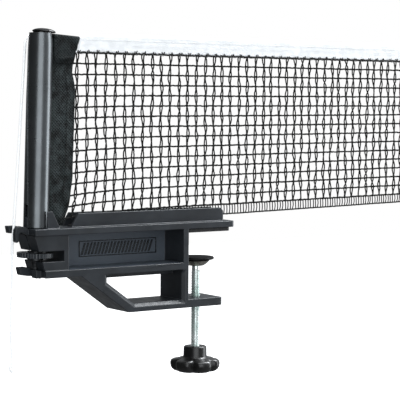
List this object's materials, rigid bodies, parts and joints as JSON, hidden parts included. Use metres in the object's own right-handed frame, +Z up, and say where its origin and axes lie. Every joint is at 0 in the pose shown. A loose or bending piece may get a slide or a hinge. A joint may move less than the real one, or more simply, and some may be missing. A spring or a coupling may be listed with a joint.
{
  "type": "table tennis net clamp",
  "caption": "Screw-on table edge clamp with a leaning round post, height wheel, hemmed black net end with white top tape, and a white tension cord led down a notch.",
  "frame": {"origin": "where the clamp screw's axis meets the table top, on the underside of the jaw pad", "axes": "+X along the net towards the middle of the table, +Y to the rear of the clamp, +Z up, square to the table top"},
  "size_m": [0.4018, 0.0398, 0.2677],
  "materials": {
    "frame_plastic": "satin moulded black plastic",
    "pad_rubber": "matt black rubber",
    "zinc_steel": "bright zinc plated",
    "dark_steel": "black oxide steel",
    "gloss_black": "glossy black moulded plastic",
    "wheel_plastic": "knurled black plastic",
    "post_finish": "smooth black powder-coated steel tube",
    "rod_plastic": "plain black rod",
    "black_fabric": "black woven polyester",
    "net_string": "black knotted string",
    "white_tape": "white woven tape",
    "white_cord": "white braided cord"
  },
  "bodies": {
    "base": {"clamp_frame": "frame_plastic", "jaw_pad": "pad_rubber", "captive_nut": "zinc_steel", "upper_thrust_washer": "zinc_steel", "lower_thrust_washer": "zinc_steel"},
    "dish": {"pressure_dish": "dark_steel"},
    "screw": {"clamp_screw": "zinc_steel", "retaining_ring": "dark_steel", "star_knob": "gloss_black", "knob_insert": "zinc_steel"},
    "disc": {"pressure_disc": "pad_rubber"},
    "wheel": {"height_wheel": "wheel_plastic"},
    "post": {"height_stud": "zinc_steel", "post_foot": "frame_plastic", "post_tube": "post_finish", "post_cap": "gloss_black", "hem_rod": "rod_plastic", "side_hem": "black_fabric", "net_mesh": "net_string", "net_top_tape": "white_tape", "tape_cord": "white_cord", "far_hem": "black_fabric", "far_rod": "rod_plastic", "tension_cord": "white_cord", "cord_knot": "white_cord"}
  },
  "joints": [
    {"name": "screw_travel", "type": "slide", "parent": "base", "child": "dish", "axis": [0, 0, 1], "range_m": [-0.024, 0.0195]},
    {"name": "screw_turn", "type": "hinge", "parent": "dish", "child": "screw", "pos_m": [0, 0, -0.06], "axis": [0, 0, 1], "range_deg": [-6912, 5616]},
    {"name": "disc_tilt", "type": "hinge", "parent": "dish", "child": "disc", "pos_m": [0, 0, -0.0228], "axis": [0, 1, 0], "range_deg": [-2, 2]},
    {"name": "post_lift", "type": "slide", "parent": "base", "child": "post", "axis": [0.0262, 0, 0.9997], "range_m": [0, 0.008]},
    {"name": "height_wheel_turn", "type": "hinge", "parent": "base", "child": "wheel", "pos_m": [-0.14532, 0, -0.01189], "axis": [0.0262, 0, 0.9997], "range_deg": [-2880, 0]}
  ],
  "couplings": [
    {"joint": "screw_turn", "follows": "screw_travel", "rad_per_m": 5026.5},
    {"joint": "height_wheel_turn", "follows": "post_lift", "rad_per_m": -6283.2}
  ]
}
